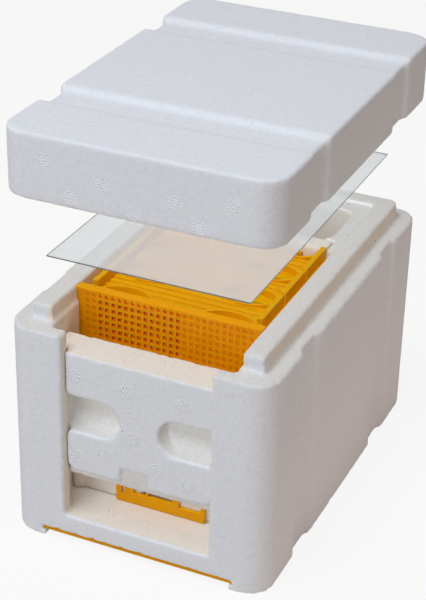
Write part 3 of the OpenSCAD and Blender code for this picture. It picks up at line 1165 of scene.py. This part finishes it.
@dataclass
class Studio:
    """Pale floor, soft lamps, and the camera of the photograph."""

    image_w: int = 426
    image_h: int = 600
    # Camera that brings the corners of box and lid closest to where the photograph shows them.
    focal_px: float = 1660.7
    camera_at: tuple[float, float, float] = (343.19, -799.5, 584.81)
    right: tuple[float, float, float] = (0.910655, 0.412604, 0.021577)
    down: tuple[float, float, float] = (0.214634, -0.4278, -0.87802)
    sensor: float = 24.0
    clip_m: tuple[float, float] = (0.05, 50.0)
    floor_half_m: float = 6.0
    ambient: float = 0.27
    ambient_tint: str = "#FFF1E6"
    paper: str = "#E2DBD2"
    paper_glow: float = 0.88
    lamps: list[Lamp] = field(default_factory=lambda: [
        Lamp("key", (-0.2, -0.75, 2.0), (0.0, 0.0, 0.12), 1.2, 27.2, "#E9F3FF"),
        Lamp("fill", (-0.6, -1.9, 0.45), (0.0, 0.0, 0.12), 1.3, 6.5, "#DDEBFF"),
        Lamp("side", (1.7, 0.1, 0.1), (0.08, 0.0, -0.1), 0.35, 0.125, "#FFD6CE", 30.0),
    ])

    def camera(self) -> None:
        """Makes the camera and sets it as the scene's."""
        data = bpy.data.cameras.new("camera")
        data.sensor_fit = "VERTICAL"
        data.sensor_height = self.sensor
        data.sensor_width = self.sensor * self.image_w / self.image_h
        data.lens = self.focal_px * self.sensor / self.image_h
        data.clip_start, data.clip_end = self.clip_m
        view = bpy.data.objects.new("camera", data)
        right = Vector(self.right).normalized()
        up = -Vector(self.down)
        up = (up - right * up.dot(right)).normalized()
        back = right.cross(up)
        turn = Matrix((right, up, back)).transposed().to_4x4()
        view.matrix_world = Matrix.Translation(Vector(self.camera_at) * MM) @ turn
        bpy.context.scene.collection.objects.link(view)
        bpy.context.scene.camera = view

    def floor(self) -> None:
        """Makes the pale floor that also fills the background."""
        half = self.floor_half_m
        mesh = bpy.data.meshes.new("floor")
        corners = [(-half, -half, 0.0), (half, -half, 0.0), (half, half, 0.0), (-half, half, 0.0)]
        mesh.from_pydata(corners, [], [(0, 1, 2, 3)])
        piece = link_mesh("floor", mesh)
        material, tree = new_tree("white_paper_floor")
        path = add_node(tree, "ShaderNodeLightPath")
        seen = add_node(
            tree, "ShaderNodeMath", operation="MAXIMUM",
            links={0: path.outputs["Is Camera Ray"], 1: path.outputs["Is Glossy Ray"]},
        )
        seen = add_node(
            tree, "ShaderNodeMath", operation="MAXIMUM",
            links={0: seen.outputs[0], 1: path.outputs["Is Transmission Ray"]},
        )
        share = add_node(
            tree, "ShaderNodeMath", {1: self.paper_glow}, {0: seen.outputs[0]}, operation="MULTIPLY",
        )
        paper = add_node(tree, "ShaderNodeBsdfDiffuse", {"Color": linear(self.paper)})
        white = add_node(tree, "ShaderNodeEmission", {"Color": linear(WHITE), "Strength": 1.0})
        mix = add_node(
            tree, "ShaderNodeMixShader",
            links={0: share.outputs[0], 1: paper.outputs[0], 2: white.outputs[0]},
        )
        add_node(tree, "ShaderNodeOutputMaterial", links={"Surface": mix.outputs[0]})
        mesh.materials.append(material)

    def world(self) -> None:
        """Sets a plain white surround: soft ambient light that the camera sees as white."""
        world = bpy.data.worlds.new("studio")
        bpy.context.scene.world = world
        world.use_nodes = True
        tree = world.node_tree
        tree.nodes.clear()
        path = add_node(tree, "ShaderNodeLightPath")
        dim = add_node(
            tree, "ShaderNodeBackground", {"Color": linear(self.ambient_tint), "Strength": self.ambient},
        )
        white = add_node(tree, "ShaderNodeBackground", {"Color": linear(WHITE), "Strength": 1.0})
        mix = add_node(
            tree, "ShaderNodeMixShader",
            links={0: path.outputs["Is Camera Ray"], 1: dim.outputs[0], 2: white.outputs[0]},
        )
        add_node(tree, "ShaderNodeOutputWorld", links={"Surface": mix.outputs[0]})

    def light(self) -> None:
        """Hangs the soft lamps."""
        for lamp in self.lamps:
            lamp.hang()

    def build(self) -> None:
        """Builds the whole studio."""
        bpy.context.scene.view_settings.view_transform = "Standard"
        self.camera()
        self.floor()
        self.world()
        self.light()
        LOG.info("studio ready")


# Places of the vent marks: across and up on an upright face, across and back on a level one.
DOOR_MARKS = [
    (-39.5, 110.7), (-7.1, 108.9), (26.9, 109.6), (-4.3, 79.4),
    (-39.0, 58.3), (-21.6, 64.0), (10.5, 63.3), (30.8, 59.7),
]
COLUMN_MARKS = [(-62.0, 126.7), (-60.5, 94.2), (60.4, 127.7), (59.7, 95.7), (56.8, 33.8), (-60.0, 45.0)]
RECESS_MARKS = [(-21.5, -106.1), (1.7, -108.8), (23.2, -108.8)]
LID_FRONT_MARKS = [
    (-52.8, 238.7), (-18.2, 231.9), (-36.9, 220.6), (-0.6, 219.5),
    (22.9, 230.5), (36.5, 219.5), (55.0, 236.0),
]
LID_TOP_MARKS = [
    (-41.7, -87.0), (-62.6, -106.5), (-23.2, -110.0), (-0.7, -90.2), (21.4, -110.0), (42.0, -88.0),
    (-18.1, -11.6), (25.1, -15.3), (3.8, -34.4), (45.8, -38.5), (-0.8, 16.6), (24.3, 32.1),
    (47.8, 9.8), (-35.8, 15.4), (-38.4, -31.5), (45.9, 97.2), (4.0, 104.0), (-40.0, 96.0),
]
LID_GROOVE_MARKS = [(-59.0, -64.0), (-21.1, -64.0), (21.4, -64.0), (63.0, -64.0), (-40.0, 64.0), (42.0, 64.0)]
SIDE_MARKS = [
    (-98.0, 112.0), (-96.0, 38.0), (-30.0, 104.0), (-22.0, 34.0),
    (24.0, 112.0), (34.0, 42.0), (97.0, 106.0), (98.0, 36.0),
]
BACK_MARKS = [(-52.0, 112.0), (-8.0, 104.0), (44.0, 114.0), (-44.0, 40.0), (6.0, 46.0), (54.0, 36.0)]
# The lid's strap grooves are this deep, so the marks in them lie lower.
LID_GROOVE_DEPTH = 3.0
# Two rings share a centre on the door's top, which is narrower than they are, and one lies on its face.
TOP_RING_AT = (1.0, -104.5)
TOP_RING_RADII = (8.6, 13.4)
TOP_RING_REACH = 10.4
FACE_RING_AT = (-4.6, 93.7)
FACE_RING_RADIUS = 3.2
FRAMES = ("front", "middle", "rear")
STRIP_EDGE = 0.3


def foam_skins() -> tuple[bpy.types.Material, ...]:
    """Makes the foam's finishes.

    Returns:
        The materials, in the order of Skin.
    """
    # The tops are painted a little darker and warmer, as painted shade; the faces inside are painted creamier
    # and brighter, as painted bounce light from the yellow plastic; and the feeder's walls are painted a
    # brighter white, as painted light where shade falls.
    return (
        BeadFoam().material(),
        BeadFoam("eps_bead_foam_painted_shade", skin="#E2DFD9", seam="#D8D4CD").material(),
        BeadFoam("eps_bead_foam_painted_bounce_light", skin="#EFE7DB", seam="#E7DDCF").material(),
        BeadFoam("eps_bead_foam_painted_light", skin="#FFFDF6", seam="#FBF8EF", roughness=0.6).material(),
    )


def build_marks(skins: tuple[bpy.types.Material, ...]) -> bpy.types.Object:
    """Builds the moulding marks of lid, door and box.

    Args:
        skins: The foam's materials, in the order of Skin.

    Returns:
        The lid's marks, which are lit as the lid is.
    """
    outer = skins[Skin.OUTER.value]
    # Marks inside the box and on the door's top take the painted bounce light of the faces that they sit on.
    inside = skins[Skin.INSIDE.value]
    lid_low, lid_high = box_mm("lid")
    box_low, box_high = box_mm("hive_body")
    door_low, door_high = box_mm("front_door")
    recess_floor = box_mm("entrance_board")[0].z
    lid_marks = VentMarks("lid_vent_marks", Body.COVER, [
        *marks_on(Side.FRONT, lid_low.y, Relief.CLEAR, LID_FRONT_MARKS),
        *marks_on(Side.UP, lid_high.z, Relief.FAINT, LID_TOP_MARKS),
        *marks_on(Side.UP, lid_high.z - LID_GROOVE_DEPTH, Relief.LOW, LID_GROOVE_MARKS),
    ]).build(outer)
    VentMarks("door_vent_marks", Body.DOOR, [
        *marks_on(Side.FRONT, door_low.y, Relief.FULL, DOOR_MARKS),
    ]).build(outer)
    VentMarks("recess_vent_marks", Body.HIVE, [
        *marks_on(Side.UP, recess_floor, Relief.FULL, RECESS_MARKS),
    ]).build(inside)
    VentMarks("box_vent_marks", Body.HIVE, [
        *marks_on(Side.FRONT, box_low.y, Relief.LOW, COLUMN_MARKS),
        *marks_on(Side.RIGHT, box_high.x, Relief.FAINT, SIDE_MARKS),
        *marks_on(Side.LEFT, box_low.x, Relief.FAINT, SIDE_MARKS),
        *marks_on(Side.BACK, box_high.y, Relief.LOW, BACK_MARKS),
    ]).build(outer)
    RingMarks("door_top_rings", Body.DOOR, [
        RingMark((*TOP_RING_AT, door_high.z), Side.UP, radius, TOP_RING_REACH) for radius in TOP_RING_RADII
    ]).build(inside)
    across, up = FACE_RING_AT
    RingMarks("door_face_ring", Body.DOOR, [
        RingMark((across, door_low.y, up), Side.FRONT, FACE_RING_RADIUS),
    ]).build(outer)
    return lid_marks


def main() -> None:
    logging.basicConfig(level=logging.INFO, format="%(message)s")
    Studio().build()
    skins = foam_skins()
    yellow = YellowPlastic().material()
    wax = WaxStrip().material()
    HiveBox().build(*skins)
    door = FrontDoor().build(*skins)
    for node in ("entrance_board", "divider"):
        InnerBoard(node, Body.HIVE).build(*skins)
    lid_low, lid_high = box_mm("lid")
    lid = FoamMoulding(
        "lid", Body.COVER, soften=16, crumb=0.6, groove_span=(lid_low.z, lid_high.z),
    ).build(*skins)
    lid_marks = build_marks(skins)
    # The grille, gate and slide are painted brighter and more orange than the frames, as painted bounce
    # light; the webs that close holes are painted darker, as painted shade; and the holes' walls a darker
    # orange, as painted shade and orange light from behind.
    painted_light_yellow = YellowPlastic("moulded_polypropylene_painted_light", face="#F8AC00", deep="#F09E00").material()
    web = YellowPlastic("thin_yellow_web_painted_shade", face="#EE9C00", deep="#E48C00").material()
    hole = YellowPlastic("lit_hole_wall", face="#DE6E10", deep="#D25E08").material()
    grille = VentGrille().build_with_web(painted_light_yellow, web, hole)
    frames = [Moulded(f"frame_{place}", Body.HIVE).build(yellow) for place in FRAMES]
    for node, body in (
        ("entrance_gate", Body.GATE), ("feeder_excluder", Body.HIVE), ("feeder_ladder", Body.HIVE),
        ("floor_grid", Body.HIVE), ("floor_slide", Body.SLIDE),
    ):
        Moulded(node, body).build(yellow if body is Body.HIVE else painted_light_yellow)
    for place in FRAMES:
        Moulded(f"starter_strip_{place}", Body.HIVE, Slot.WAX, edge=STRIP_EDGE).build(wax)
    sheet = CoverSheet().build(ClearSheet().material(), CutEdge().material())
    # The lid and the clear sheet are held apart from the box, each in its own light, so neither shades what
    # is below. The foam door, the translucent grille and the frames let light through to what is behind.
    for piece in (lid, lid_marks, sheet, door, grille, *frames):
        piece.visible_shadow = False


if __name__ == "__main__":
    main()
